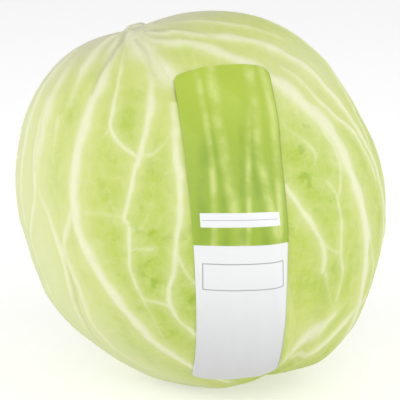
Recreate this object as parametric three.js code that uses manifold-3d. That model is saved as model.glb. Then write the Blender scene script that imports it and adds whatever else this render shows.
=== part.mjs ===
// A whole green cabbage: a tight head wrapped in five outer leaves, its cut stem and a film label.
// Millimetres, +Z up. The head leans so that the stem end points up, to the left and back.
import * as THREE from "three";
import { mergeVertices } from "three/addons/utils/BufferGeometryUtils.js";
import loadManifold from "manifold-3d";

const { clamp, degToRad, lerp, radToDeg, smoothstep } = THREE.MathUtils;
const manifold = await loadManifold();
manifold.setup();

// Place of the head on the surface that it rests on
const CENTRE_HEIGHT = 85.5;
const LEAN_LEFT = 21;
const LEAN_BACK = 15;
const HEAD_TURN = new THREE.Euler(degToRad(-LEAN_BACK), degToRad(-LEAN_LEFT), 0);

// Reach of the head from its middle, by the angle from the stem, on its left side and on its right
const HEAD_REACH = [
  { angle: 0, left: 87, right: 87 },
  { angle: 10, left: 91.5, right: 88.7 },
  { angle: 25, left: 94.8, right: 90.4 },
  { angle: 42, left: 93.7, right: 92.2 },
  { angle: 60, left: 89.6, right: 90.2 },
  { angle: 82, left: 85.6, right: 87.2 },
  { angle: 105, left: 86.2, right: 88.5 },
  { angle: 130, left: 86.2, right: 90 },
  { angle: 150, left: 88.3, right: 95.2 },
  { angle: 165, left: 91.3, right: 96.2 },
  { angle: 180, left: 93.5, right: 93.5 },
];
const MEAN_REACH = 90;

// Leaves, from the outermost in: each stands the golden angle further round the stem than the one outside it
const FIRST_LEAF_TURN = -38;
const GOLDEN_ANGLE = 137.5;

// Layers: each leaf lies clear of the one under it, and all of them clear of the closed head
const BLADE = 1.2;
const RIB_HEIGHT = 1.3;
const LEAF_CLEARANCE = 1.6;
const HEAD_CLEARANCE = 2.8;
const LEAF_PITCH = BLADE + RIB_HEIGHT + LEAF_CLEARANCE;

// Ribs run along a leaf at these shares of its half width, and lower slanted cross veins tie them into a net
const RIBS = [-0.72, -0.36, 0, 0.36, 0.72];
const MIDRIB_FOOT = 0.075;
const RIB_FOOT = 0.05;
const SIDE_RIB_SHARE = 0.8;
const VEIN_SHARE = 0.5;
const VEIN_FOOT = 2.2;
const VEIN_SLANT = 3;
const BASE_SLANT = 0.4;
const RIB_FADING = 0.75;

// Large outer leaves: angle from the stem to the tip, and half the width in degrees
const OUTER_LEAVES = [
  { tip: 164, width: 55 },
  { tip: 135, width: 60 },
  { tip: 177, width: 58 },
  { tip: 120, width: 55 },
  { tip: 150, width: 58 },
];
const OUTER_BASE = 10;
const OUTER_VEINS = 8;
const VEIN_CROWDING = 0.045;

// Leaves of the closed head, which show only round its crown
const INNER_STEP = 1.6;
const INNER_ROOT_DEPTH = 14;
const INNER_LEAVES = [
  { tip: 174, width: 56 },
  { tip: 190, width: 56 },
  { tip: 186, width: 56 },
];
const INNER_BASE = 92;
const CORE_DETAIL = 8;
const INNER_VEINS = 4;

// Leaf outline: a narrow clasping base, widest near the middle of the head, a broad round tip, a waved margin
const BASE_WIDTH = 10;
const WIDEST_AT = 95;
const BASE_SPREAD = 1.5;
const TIP_ROUNDNESS = 2.5;
const TIP_TRIM = 1.5;
const TIP_ROWS = [0.5, 0.2, 0];
const WAVE = 0.035;
const WAVES_ALONG = 7;

// A leaf presses the ones under it down, this far past its margin and fading out to the second distance
const PRESS_NEAR = 18;
const PRESS_FAR = 40;

// Cut stem: a broad foot between the leaf bases, drawn in to a narrow round stub
const STEM_FOOT = 76;
const STEM_FOOT_RADIUS = 10.5;
const STEM_SHOULDER = 83.5;
const STEM_NECK = 88;
const STUB_RADIUS = 5.4;
const STUB_TOP = 90.6;
const STUB_DOME = 0.4;
const STUB_ROUNDING = 1.8;
const SHOULDER_STEPS = 4;
const ROUNDING_STEPS = 3;
const STEM_SIDES = 24;

// Film label, laid along the head over the meeting line of the two front leaves, with its lower end cut askew
const LABEL_TURN = 11.2;
const LABEL_LEAN = 16;
const LABEL_UP = 39;
const LABEL_DOWN = -62.5;
const LABEL_SKEW = 2.7;
const LABEL_WIDTH = 42;
const LABEL_CORNER = 5;
const LABEL_SETTLING = 7;
const LABEL_THICKNESS = 0.6;
const LABEL_CLEARANCE = 0.5;
const LABEL_ROWS = 36;
const LABEL_COLUMNS = 9;

// Value at x on a smooth curve through the knots
function smoothThrough(knots, key, x) {
  const last = knots.length - 1;
  const found = knots.findIndex((knot) => knot.angle >= x);
  const upper = clamp(found < 0 ? last : found, 1, last);
  const lower = upper - 1;
  const slope = (index) => {
    if (index === 0 || index === last) return 0;
    const before = knots[index - 1];
    const after = knots[index + 1];
    return (after[key] - before[key]) / (after.angle - before.angle);
  };
  const span = knots[upper].angle - knots[lower].angle;
  const t = clamp((x - knots[lower].angle) / span, 0, 1);
  const rise = t * t * (3 - 2 * t);
  const leaving = t * (1 - t) * (1 - t) * span * slope(lower);
  const arriving = t * t * (t - 1) * span * slope(upper);
  return lerp(knots[lower][key], knots[upper][key], rise) + leaving + arriving;
}

// Outside of the whole head in a direction from its middle
function headReach(direction) {
  const angle = radToDeg(Math.acos(clamp(direction.z, -1, 1)));
  const side = direction.x / Math.max(Math.hypot(direction.x, direction.y), 1e-6);
  const left = smoothThrough(HEAD_REACH, "left", angle);
  const right = smoothThrough(HEAD_REACH, "right", angle);
  return lerp(left, right, (1 + side) / 2);
}

function makeLeaf(shape, index, base, root, veins, pitch) {
  const turn = degToRad(FIRST_LEAF_TURN - GOLDEN_ANGLE * index);
  const heading = new THREE.Vector3(Math.sin(turn), -Math.cos(turn), 0);
  const across = new THREE.Vector3(Math.cos(turn), Math.sin(turn), 0);
  return { ...shape, index, base, root, veins, pitch, heading, across };
}

const outerLeaves = OUTER_LEAVES.map((shape, index) =>
  makeLeaf(shape, index, OUTER_BASE, -OUTER_BASE, OUTER_VEINS, LEAF_PITCH),
);
const innerLeaves = INNER_LEAVES.map((shape, index) =>
  makeLeaf(shape, index + OUTER_LEAVES.length, INNER_BASE, INNER_BASE, INNER_VEINS, INNER_STEP),
);
const leaves = [...outerLeaves, ...innerLeaves];

// Half the width of a leaf, in degrees, at an angle along it from the stem
function leafHalfWidth(leaf, along) {
  const place = clamp(along, OUTER_BASE, leaf.tip);
  const wave = 1 + WAVE * Math.sin(degToRad(WAVES_ALONG * place) + leaf.index);
  if (place < WIDEST_AT) {
    const left = (WIDEST_AT - place) / (WIDEST_AT - OUTER_BASE);
    return lerp(leaf.width, BASE_WIDTH, left ** BASE_SPREAD) * wave;
  }
  const done = (place - WIDEST_AT) / (leaf.tip - WIDEST_AT);
  return leaf.width * Math.sqrt(Math.max(1 - done ** TIP_ROUNDNESS, 0)) * wave;
}

// Direction of a point of a leaf, from degrees along it and degrees across it
function leafDirection(leaf, along, across) {
  const a = degToRad(along);
  const b = degToRad(across);
  return new THREE.Vector3(0, 0, Math.cos(b) * Math.cos(a))
    .addScaledVector(leaf.heading, Math.cos(b) * Math.sin(a))
    .addScaledVector(leaf.across, Math.sin(b));
}

// Degrees along a leaf to a direction, and degrees from its margin to there, below 0 inside the leaf
function leafPlace(leaf, direction) {
  const forward = direction.dot(leaf.heading);
  const across = radToDeg(Math.asin(clamp(direction.dot(leaf.across), -1, 1)));
  const turned = radToDeg(Math.atan2(forward, direction.z));
  const along = turned < -90 ? turned + 360 : turned;
  const past = Math.max(leaf.root - along, along - leaf.tip);
  const beside = Math.abs(across) - leafHalfWidth(leaf, along);
  return { along, pastMargin: past > 0 ? Math.hypot(past, Math.max(beside, 0)) : beside };
}

// How hard a leaf presses on what lies under it in a direction: 1 under it, 0 well away from its margin.
// Between the leaf bases, which stand side by side, the pressing fades out sooner.
function pressing(leaf, direction, narrowing) {
  const { along, pastMargin } = leafPlace(leaf, direction);
  const share = narrowing && along < WIDEST_AT ? leafHalfWidth(leaf, along) / leaf.width : 1;
  return 1 - smoothstep(degToRad(pastMargin) * MEAN_REACH, PRESS_NEAR * share, PRESS_FAR * share);
}

// Reach of a layer: the outside of the head less the leaves that lie over that layer
function layerReach(layer, direction) {
  const outer = layer < OUTER_LEAVES.length;
  let reach = headReach(direction);
  let most = 0;
  for (const leaf of leaves.slice(0, layer)) {
    const pressed = pressing(leaf, direction, outer);
    reach -= leaf.pitch * pressed;
    most = Math.max(most, pressed);
  }
  return outer ? reach : reach - HEAD_CLEARANCE * most;
}

// Columns across a leaf: both margins, and each rib as a crest between two feet
function leafColumns() {
  const columns = [{ place: -1, crest: 0, slant: -VEIN_SLANT }];
  RIBS.forEach((place, index) => {
    const foot = place === 0 ? MIDRIB_FOOT : RIB_FOOT;
    const slant = index % 2 === 0 ? VEIN_SLANT : -VEIN_SLANT;
    columns.push({ place: place - foot, crest: 0, slant });
    columns.push({ place, crest: place === 0 ? 1 : SIDE_RIB_SHARE, slant });
    columns.push({ place: place + foot, crest: 0, slant });
  });
  columns.push({ place: 1, crest: 0, slant: -VEIN_SLANT });
  return columns;
}

// Rows along a leaf: the base, each cross vein as a crest between two feet, and more rows round the tip
function leafRows(leaf) {
  const end = leaf.tip - TIP_TRIM;
  const veinPlace = (vein) => {
    const t = vein / (leaf.veins + 1);
    return lerp(leaf.base, end, t - VEIN_CROWDING * Math.sin(2 * Math.PI * t));
  };
  const rows = [
    { place: leaf.base, crest: 0, slanted: 0 },
    { place: (leaf.base + veinPlace(1)) / 2, crest: 0, slanted: BASE_SLANT },
  ];
  for (let vein = 1; vein <= leaf.veins; vein += 1) {
    const place = veinPlace(vein);
    rows.push({ place: place - VEIN_FOOT, crest: 0, slanted: 1 });
    rows.push({ place, crest: VEIN_SHARE, slanted: 1 });
    rows.push({ place: place + VEIN_FOOT, crest: 0, slanted: 1 });
  }
  const left = end - rows.at(-1).place;
  for (const share of TIP_ROWS) {
    rows.push({ place: end - left * share, crest: 0, slanted: share });
  }
  return rows;
}

// Closed sheet on a grid of points: the outer face, the inner face split alike, and the rim between them
function closedSheet(rows, columns, outerPoint, innerPoint) {
  const positions = [];
  const indices = [];
  for (const point of [outerPoint, innerPoint]) {
    for (let row = 0; row < rows; row += 1) {
      for (let column = 0; column < columns; column += 1) {
        positions.push(...point(row, column).toArray());
      }
    }
  }
  const outer = (row, column) => row * columns + column;
  const inner = (index) => index + rows * columns;
  const triangle = (a, b, c) => {
    indices.push(a, b, c);
    indices.push(inner(a), inner(c), inner(b));
  };
  const rim = (a, b) => {
    indices.push(b, a, inner(a));
    indices.push(b, inner(a), inner(b));
  };
  for (let row = 0; row < rows - 1; row += 1) {
    for (let column = 0; column < columns - 1; column += 1) {
      triangle(outer(row, column), outer(row + 1, column), outer(row, column + 1));
      triangle(outer(row, column + 1), outer(row + 1, column), outer(row + 1, column + 1));
    }
    rim(outer(row, 0), outer(row + 1, 0));
    rim(outer(row + 1, columns - 1), outer(row, columns - 1));
  }
  for (let column = 0; column < columns - 1; column += 1) {
    rim(outer(0, column + 1), outer(0, column));
    rim(outer(rows - 1, column), outer(rows - 1, column + 1));
  }
  const geometry = new THREE.BufferGeometry();
  geometry.setAttribute("position", new THREE.Float32BufferAttribute(positions, 3));
  geometry.setIndex(indices);
  return geometry;
}

// One leaf laid on the layers under it, with its ribs and veins raised on the outer face
function leafGeometry(leaf, depth) {
  const columns = leafColumns();
  const rows = leafRows(leaf);
  const along = (row, column) => rows[row].place + rows[row].slanted * columns[column].slant;
  const direction = (row, column) => {
    const place = along(row, column);
    return leafDirection(leaf, place, columns[column].place * leafHalfWidth(leaf, place));
  };
  const relief = (row, column) => {
    const inside = Math.abs(columns[column].place) < 1;
    const crest = inside ? Math.max(columns[column].crest, rows[row].crest) : 0;
    const done = (along(row, column) - leaf.base) / (leaf.tip - leaf.base);
    return RIB_HEIGHT * crest * (1 - RIB_FADING * done ** 2);
  };
  const outerPoint = (row, column) => {
    const towards = direction(row, column);
    return towards.multiplyScalar(layerReach(leaf.index, towards) + relief(row, column));
  };
  const innerPoint = (row, column) => {
    const towards = direction(row, column);
    return towards.multiplyScalar(layerReach(leaf.index, towards) - depth);
  };
  return closedSheet(rows.length, columns.length, outerPoint, innerPoint);
}

function toSolid(geometry) {
  geometry.deleteAttribute("normal");
  geometry.deleteAttribute("uv");
  const merged = mergeVertices(geometry, 1e-4);
  const mesh = new manifold.Mesh({
    numProp: 3,
    vertProperties: new Float32Array(merged.attributes.position.array),
    triVerts: new Uint32Array(merged.index.array),
  });
  return new manifold.Manifold(mesh);
}

function toGeometry(solid) {
  const mesh = solid.getMesh();
  const geometry = new THREE.BufferGeometry();
  geometry.setAttribute("position", new THREE.BufferAttribute(new Float32Array(mesh.vertProperties), 3));
  geometry.setIndex(new THREE.BufferAttribute(new Uint32Array(mesh.triVerts), 1));
  return geometry;
}

// Closed head: the packed leaves as one body, with the last leaves round the crown standing out of it,
// pressed flat where it rests
function headGeometry() {
  const core = new THREE.IcosahedronGeometry(1, CORE_DETAIL);
  const positions = core.attributes.position;
  const point = new THREE.Vector3();
  for (let index = 0; index < positions.count; index += 1) {
    point.fromBufferAttribute(positions, index).normalize();
    point.multiplyScalar(layerReach(leaves.length, point));
    positions.setXYZ(index, point.x, point.y, point.z);
  }
  let head = toSolid(core);
  for (const leaf of innerLeaves) {
    head = head.add(toSolid(leafGeometry(leaf, INNER_ROOT_DEPTH)));
  }
  return toGeometry(head.subtract(toSolid(surfaceUnderHead())));
}

// Room taken by the surface that the head rests on, as a slab in the frame of the leaning head
function surfaceUnderHead() {
  const slab = new THREE.BoxGeometry(2 * MEAN_REACH, 2 * MEAN_REACH, MEAN_REACH);
  slab.translate(0, 0, -CENTRE_HEIGHT - MEAN_REACH / 2);
  return slab.applyQuaternion(new THREE.Quaternion().setFromEuler(HEAD_TURN).invert());
}

// Cut stem: the foot, the shoulder that draws in to the stub, and the stub's round edge and domed end
function stemGeometry() {
  const profile = [new THREE.Vector2(0, STEM_FOOT), new THREE.Vector2(STEM_FOOT_RADIUS, STEM_FOOT)];
  for (let step = 0; step <= SHOULDER_STEPS; step += 1) {
    const t = step / SHOULDER_STEPS;
    const out = lerp(STEM_FOOT_RADIUS, STUB_RADIUS, smoothstep(t, 0, 1));
    profile.push(new THREE.Vector2(out, lerp(STEM_SHOULDER, STEM_NECK, t)));
  }
  const edgeTop = STUB_TOP - STUB_DOME;
  for (let step = 0; step <= ROUNDING_STEPS; step += 1) {
    const a = (step / ROUNDING_STEPS) * (Math.PI / 2);
    const out = STUB_RADIUS - STUB_ROUNDING * (1 - Math.cos(a));
    profile.push(new THREE.Vector2(out, edgeTop - STUB_ROUNDING * (1 - Math.sin(a))));
  }
  profile.push(new THREE.Vector2(0, STUB_TOP));
  return new THREE.LatheGeometry(profile, STEM_SIDES).rotateX(Math.PI / 2);
}

// Face that the label lies on: the upper front leaf, and past its margin the front leaf under it
function labelBed(direction) {
  const [upperLeaf, , lowerLeaf] = outerLeaves;
  const settled = smoothstep(leafPlace(upperLeaf, direction).pastMargin, 0, LABEL_SETTLING);
  return lerp(headReach(direction), layerReach(lowerLeaf.index, direction), settled) + RIB_HEIGHT;
}

// Film label: a strip of one width with round corners that runs up the front, from rib to rib
function labelGeometry() {
  const lean = degToRad(LABEL_LEAN);
  const turn = degToRad(LABEL_TURN);
  const upright = new THREE.Vector3(Math.sin(lean), 0, Math.cos(lean));
  const right = new THREE.Vector3(Math.cos(lean), 0, -Math.sin(lean));
  const front = new THREE.Vector3(0, -1, 0);
  const facing = right.clone().multiplyScalar(Math.sin(turn)).addScaledVector(front, Math.cos(turn));
  const sideways = right.clone().multiplyScalar(Math.cos(turn)).addScaledVector(front, -Math.sin(turn));
  const direction = (row, column) => {
    const share = lerp(-1, 1, column / (LABEL_COLUMNS - 1));
    const lowerEnd = LABEL_DOWN + LABEL_SKEW * share;
    const up = lerp(LABEL_UP, lowerEnd, row / (LABEL_ROWS - 1));
    const middle = facing.clone().multiplyScalar(Math.cos(degToRad(up)));
    middle.addScaledVector(upright, Math.sin(degToRad(up)));
    const toEnd = Math.min(LABEL_UP - up, up - lowerEnd, LABEL_CORNER);
    const cornerCut = LABEL_CORNER - Math.sqrt(LABEL_CORNER ** 2 - (LABEL_CORNER - toEnd) ** 2);
    const beside = share * (LABEL_WIDTH / 2 / headReach(middle) - degToRad(cornerCut));
    return middle.multiplyScalar(Math.cos(beside)).addScaledVector(sideways, Math.sin(beside));
  };
  const point = (height) => (row, column) => {
    const towards = direction(row, column);
    return towards.multiplyScalar(labelBed(towards) + LABEL_CLEARANCE + height);
  };
  return closedSheet(LABEL_ROWS, LABEL_COLUMNS, point(LABEL_THICKNESS), point(0));
}

function mesh(name, geometry, colour, roughness) {
  const material = new THREE.MeshStandardMaterial({ color: colour, roughness, metalness: 0 });
  const piece = new THREE.Mesh(geometry, material);
  piece.name = name;
  return piece;
}

const cabbage = new THREE.Group();
const leaning = new THREE.Group();
leaning.rotation.copy(HEAD_TURN);
leaning.position.z = CENTRE_HEIGHT;
cabbage.add(leaning);

leaning.add(mesh("head", headGeometry(), "#cfdc82", 0.5));
for (const leaf of outerLeaves) {
  leaning.add(mesh(`outer_leaf_${leaf.index + 1}`, leafGeometry(leaf, BLADE), "#d6e08c", 0.5));
}
leaning.add(mesh("stem", stemGeometry(), "#dad8ba", 0.6));
leaning.add(mesh("label", labelGeometry(), "#d8e0a0", 0.35));

export default cabbage;
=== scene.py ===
# %% [markdown]
# A whole green cabbage, lying as it is sold: its cut stem points up, to the left and back. The
# solid model is loaded first. It stays where it is, and every finer piece below takes the place
# of one of its parts, so the sizes and the layers of the leaves are the same in both.

import math
from types import SimpleNamespace

import bpy
import numpy as np
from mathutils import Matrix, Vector


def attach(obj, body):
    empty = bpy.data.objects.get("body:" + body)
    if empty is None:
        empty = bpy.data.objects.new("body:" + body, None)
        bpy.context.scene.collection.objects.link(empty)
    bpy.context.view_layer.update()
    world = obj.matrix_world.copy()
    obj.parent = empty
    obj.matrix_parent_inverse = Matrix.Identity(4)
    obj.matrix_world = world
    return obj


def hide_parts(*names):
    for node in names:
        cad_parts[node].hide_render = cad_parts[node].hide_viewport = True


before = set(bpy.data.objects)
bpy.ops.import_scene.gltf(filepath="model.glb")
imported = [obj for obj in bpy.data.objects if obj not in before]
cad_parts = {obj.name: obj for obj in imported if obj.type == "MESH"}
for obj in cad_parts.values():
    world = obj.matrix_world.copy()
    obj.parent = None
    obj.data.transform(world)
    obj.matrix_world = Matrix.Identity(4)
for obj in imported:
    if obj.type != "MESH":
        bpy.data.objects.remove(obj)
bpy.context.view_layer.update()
MM = 0.001
print("solid parts:", sorted(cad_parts))

# %% [markdown]
# The camera stands a little above the middle of the head and looks down on it by the angle at
# which the stem leans back, so the stem axis lies flat in the picture. A long lens keeps the
# round head free of distortion.

# %% Camera
CENTRE_HEIGHT = 85.5 * MM
LEAN_LEFT = 21
LEAN_BACK = 15
CAMERA_DISTANCE = 0.65
PICTURE_WIDTH = 193.8 * MM
SENSOR_WIDTH = 36


def add_camera():
    data = bpy.data.cameras.new("camera")
    data.sensor_width = SENSOR_WIDTH
    data.lens = SENSOR_WIDTH * CAMERA_DISTANCE / PICTURE_WIDTH
    camera = bpy.data.objects.new("camera", data)
    bpy.context.scene.collection.objects.link(camera)
    down = math.radians(LEAN_BACK)
    away = Vector((0, -math.cos(down), math.sin(down)))
    camera.location = Vector((0, 0, CENTRE_HEIGHT)) + away * CAMERA_DISTANCE
    camera.rotation_euler = (math.pi / 2 - down, 0, 0)
    bpy.context.scene.camera = camera
    return camera


camera = add_camera()
print("lens, mm:", round(camera.data.lens, 1))

# %% [markdown]
# A product picture of this kind is lit softly from nearly everywhere: white surroundings under a
# dimmer ceiling, one broad lamp in front and one at each side. The plain white floor glows a
# little, so it stays white and fills the shade under the head. It is clear from below, so the
# underside can be looked at as well.

# %% Light and floor
WORLD_STRENGTH = 0.9
CEILING_SHARE = 0.55
LAMPS = {
    "front_lamp": {"place": (-0.15, -1.5, 1.0), "size": 1.3, "power": 6},
    "left_lamp": {"place": (-1.5, -0.4, 0.6), "size": 1.4, "power": 8},
    "right_lamp": {"place": (1.4, -0.5, 0.8), "size": 1.4, "power": 9},
}
FLOOR_SIZE = 12
FLOOR_WHITE = (0.72, 0.72, 0.72, 1)
FLOOR_GLOW = 0.4
FLOOR_BOUNCE = 0.22


def add_lamp(name, place, size, power):
    data = bpy.data.lights.new(name, "AREA")
    data.size = size
    data.energy = power
    lamp = bpy.data.objects.new(name, data)
    bpy.context.scene.collection.objects.link(lamp)
    lamp.location = place
    aim = Vector((0, 0, CENTRE_HEIGHT)) - Vector(place)
    lamp.rotation_euler = aim.to_track_quat("-Z", "Y").to_euler()


def white_surroundings():
    world = bpy.data.worlds.new("white_surroundings")
    world.use_nodes = True
    background = world.node_tree.nodes["Background"]
    background.inputs["Color"].default_value = (1, 1, 1, 1)
    facing = world.node_tree.nodes.new("ShaderNodeTexCoord")
    parts = world.node_tree.nodes.new("ShaderNodeSeparateXYZ")
    dimming = world.node_tree.nodes.new("ShaderNodeMapRange")
    dimming.inputs["From Min"].default_value = 0
    dimming.inputs["From Max"].default_value = 1
    dimming.inputs["To Min"].default_value = WORLD_STRENGTH
    dimming.inputs["To Max"].default_value = WORLD_STRENGTH * CEILING_SHARE
    world.node_tree.links.new(facing.outputs["Generated"], parts.inputs[0])
    world.node_tree.links.new(parts.outputs["Z"], dimming.inputs["Value"])
    world.node_tree.links.new(dimming.outputs["Result"], background.inputs["Strength"])
    bpy.context.scene.world = world


def floor_material():
    material = bpy.data.materials.new("white_floor")
    material.use_nodes = True
    tree = material.node_tree
    painted = tree.nodes["Principled BSDF"]
    painted.inputs["Base Color"].default_value = FLOOR_WHITE
    painted.inputs["Roughness"].default_value = 0.9
    painted.inputs["Emission Color"].default_value = (1, 1, 1, 1)
    seen = tree.nodes.new("ShaderNodeLightPath")
    glow = tree.nodes.new("ShaderNodeMapRange")
    glow.inputs["To Min"].default_value = FLOOR_BOUNCE
    glow.inputs["To Max"].default_value = FLOOR_GLOW
    tree.links.new(seen.outputs["Is Camera Ray"], glow.inputs["Value"])
    tree.links.new(glow.outputs["Result"], painted.inputs["Emission Strength"])
    clear = tree.nodes.new("ShaderNodeBsdfTransparent")
    side = tree.nodes.new("ShaderNodeNewGeometry")
    choose = tree.nodes.new("ShaderNodeMixShader")
    tree.links.new(side.outputs["Backfacing"], choose.inputs["Fac"])
    tree.links.new(painted.outputs["BSDF"], choose.inputs[1])
    tree.links.new(clear.outputs["BSDF"], choose.inputs[2])
    tree.links.new(choose.outputs["Shader"], tree.nodes["Material Output"].inputs["Surface"])
    return material


def deselect_all():
    bpy.ops.object.select_all(action="DESELECT")


def add_floor():
    deselect_all()
    bpy.ops.mesh.primitive_plane_add(size=FLOOR_SIZE, location=(0, 0, 0))
    floor = bpy.context.object
    floor.name = "floor"
    floor.data.materials.append(floor_material())


bpy.context.scene.view_settings.view_transform = "Standard"
white_surroundings()
for lamp_name, lamp in LAMPS.items():
    add_lamp(lamp_name, **lamp)
add_floor()
print("lamps:", ", ".join(LAMPS))

# %% [markdown]
# The head is nearly round, with a flatter stem end and a slightly fuller crown. Its outside is a
# smooth curve through a few distances from the middle, by the angle from the stem, for its left
# side and for its right. From here to the end of the leaves, lengths are in millimetres and
# angles in degrees, from the stem at 0 to the crown at 180.

# %% Outside of the head
REACH_ANGLES = np.array([0, 10, 25, 42, 60, 82, 105, 130, 150, 165, 180.0])
LEFT_REACH = np.array([87, 91.5, 94.8, 93.7, 89.6, 85.6, 86.2, 86.2, 88.3, 91.3, 93.5])
RIGHT_REACH = np.array([87, 88.7, 90.4, 92.2, 90.2, 87.2, 88.5, 90, 95.2, 96.2, 93.5])
MEAN_REACH = 90
MM_PER_DEGREE = math.radians(1) * MEAN_REACH
MM_PER_CM = 10
FLOOR_CLEARANCE = 0.3 * MM


def head_turn_matrix():
    back = math.radians(-LEAN_BACK)
    left = math.radians(-LEAN_LEFT)
    about_x = np.array([[1, 0, 0], [0, math.cos(back), -math.sin(back)], [0, math.sin(back), math.cos(back)]])
    about_y = np.array([[math.cos(left), 0, math.sin(left)], [0, 1, 0], [-math.sin(left), 0, math.cos(left)]])
    return about_x @ about_y


HEAD_TURN = head_turn_matrix()


def smooth_step(x, low, high):
    t = np.clip((x - low) / (high - low), 0, 1)
    return t * t * (3 - 2 * t)


def smooth_through(values, angle):
    slopes = np.zeros(len(values))
    slopes[1:-1] = (values[2:] - values[:-2]) / (REACH_ANGLES[2:] - REACH_ANGLES[:-2])
    upper = np.clip(np.searchsorted(REACH_ANGLES, angle), 1, len(values) - 1)
    lower = upper - 1
    span = REACH_ANGLES[upper] - REACH_ANGLES[lower]
    t = np.clip((angle - REACH_ANGLES[lower]) / span, 0, 1)
    risen = values[lower] + (values[upper] - values[lower]) * t * t * (3 - 2 * t)
    leaving = t * (1 - t) ** 2 * span * slopes[lower]
    arriving = t * t * (t - 1) * span * slopes[upper]
    return risen + leaving + arriving


def degrees_from_stem(towards):
    return np.degrees(np.arccos(np.clip(towards[..., 2], -1, 1)))


def degrees_round_stem(towards):
    return np.degrees(np.arctan2(towards[..., 0], -towards[..., 1]))


def off_axis(towards):
    """Distance from the stem axis, never quite 0."""
    return np.maximum(np.hypot(towards[..., 0], towards[..., 1]), 1e-6)


def head_reach(towards):
    angle = degrees_from_stem(towards)
    rightness = towards[..., 0] / off_axis(towards)
    left = smooth_through(LEFT_REACH, angle)
    right = smooth_through(RIGHT_REACH, angle)
    return left + (right - left) * (1 + rightness) / 2


def towards_place(from_stem, round_stem):
    a = np.radians(from_stem)
    b = np.radians(round_stem)
    return np.stack([np.sin(a) * np.sin(b), -np.sin(a) * np.cos(b), np.cos(a)], axis=-1)


def in_scene(points):
    """Points of the leaning head, in mm from its middle, as places in the scene, above the floor."""
    placed = points @ HEAD_TURN.T * MM + np.array([0, 0, CENTRE_HEIGHT])
    placed[..., 2] = np.maximum(placed[..., 2], FLOOR_CLEARANCE)
    return placed


print("reach at the stem and at the crown, mm:", LEFT_REACH[0], LEFT_REACH[-1])

# %% [markdown]
# Each leaf stands the golden angle further round the stem than the one outside it. The outermost leaf
# follows the outside of the head, and each leaf under it is pressed in by the leaves that lie over it.

# %% Leaves and their layers
FIRST_LEAF_TURN = -38
GOLDEN_ANGLE = 137.5
LEAF_PITCH = 2.7
INNER_STEP = 1.6
HEAD_CLEARANCE = 1.2
STALK_PITCH = 0.5
PITCH_SPREAD = (30, 75)
OUTER_LEAVES = [(168, 55), (135, 60), (177, 58), (120, 55), (150, 58)]
CROWN_LEAVES = [(174, 56), (190, 56), (186, 56)]
LEAF_BASE = 10
STALK_BASE = 6
STALK_END = 22
STALK_WIDTH = 6.5
CLASP = 4
CROWN_BASE = 92
BASE_WIDTH = 10
TUCKED_BASE_WIDTH = 19
WIDEST_AT = 95
BASE_SPREAD = 1.5
TIP_ROUNDNESS = 2.5
TIP_TRIM = 1.5
WAVE = 0.035
WAVES_ALONG = 7
PRESS_NEAR = 18
PRESS_FAR = 40


def make_leaf(index, tip, width, outer):
    turn = math.radians(FIRST_LEAF_TURN - GOLDEN_ANGLE * index)
    return SimpleNamespace(
        index=index,
        tip=tip,
        end=tip - TIP_TRIM,
        width=width,
        outer=outer,
        base=STALK_BASE if outer else CROWN_BASE,
        root=-LEAF_BASE if outer else CROWN_BASE,
        pitch=LEAF_PITCH if outer else INNER_STEP,
        base_width=TUCKED_BASE_WIDTH if index else BASE_WIDTH,
        heading=np.array([math.sin(turn), -math.cos(turn), 0]),
        across=np.array([math.cos(turn), math.sin(turn), 0]),
    )


leaves = [make_leaf(index, *shape, True) for index, shape in enumerate(OUTER_LEAVES)]
for shape in CROWN_LEAVES:
    leaves.append(make_leaf(len(leaves), *shape, False))


def half_width(leaf, along):
    place = np.clip(along, LEAF_BASE, leaf.tip)
    wave = 1 + WAVE * np.sin(np.radians(WAVES_ALONG * place) + leaf.index)
    left = np.clip((WIDEST_AT - place) / (WIDEST_AT - LEAF_BASE), 0, 1)
    spreading = leaf.width + (leaf.base_width - leaf.width) * left ** BASE_SPREAD
    done = np.clip((place - WIDEST_AT) / (leaf.tip - WIDEST_AT), 0, 1)
    closing = leaf.width * np.sqrt(1 - done ** TIP_ROUNDNESS)
    full = np.where(place < WIDEST_AT, spreading, closing) * wave
    return STALK_WIDTH + (full - STALK_WIDTH) * smooth_step(along, STALK_BASE, STALK_END)


def leaf_towards(leaf, along, across):
    a = np.radians(along)[..., None]
    b = np.radians(across)[..., None]
    forward = np.cos(b) * np.sin(a) * leaf.heading
    upward = np.cos(b) * np.cos(a) * np.array([0, 0, 1])
    return forward + upward + np.sin(b) * leaf.across


def leaf_places(leaf, towards):
    across = np.degrees(np.arcsin(np.clip(towards @ leaf.across, -1, 1)))
    turned = np.degrees(np.arctan2(towards @ leaf.heading, towards[..., 2]))
    return np.where(turned < -90, turned + 360, turned), across


def pressing(leaf, towards, narrowing):
    along, across = leaf_places(leaf, towards)
    past = np.maximum(leaf.root - along, along - leaf.tip)
    beside = np.abs(across) - half_width(leaf, along)
    degrees = np.where(past > 0, np.hypot(past, np.maximum(beside, 0)), beside)
    share = half_width(leaf, along) / leaf.width if narrowing else np.ones_like(along)
    share = np.where(along < WIDEST_AT, share, 1)
    return 1 - smooth_step(np.radians(degrees) * MEAN_REACH, PRESS_NEAR * share, PRESS_FAR * share)


def layer_reach(layer, towards):
    """How far from the middle a layer lies. The outermost leaf is layer 0, the body of the head the last."""
    outer = layer < len(OUTER_LEAVES)
    reach = head_reach(towards)
    most = np.zeros_like(reach)
    spread = STALK_PITCH + (1 - STALK_PITCH) * smooth_step(degrees_from_stem(towards), *PITCH_SPREAD)
    for leaf in leaves[:layer]:
        pressed = pressing(leaf, towards, outer)
        reach = reach - leaf.pitch * pressed * spread
        most = np.maximum(most, pressed)
    return reach if outer else reach - HEAD_CLEARANCE * most


print("leaves:", len(leaves))

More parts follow.
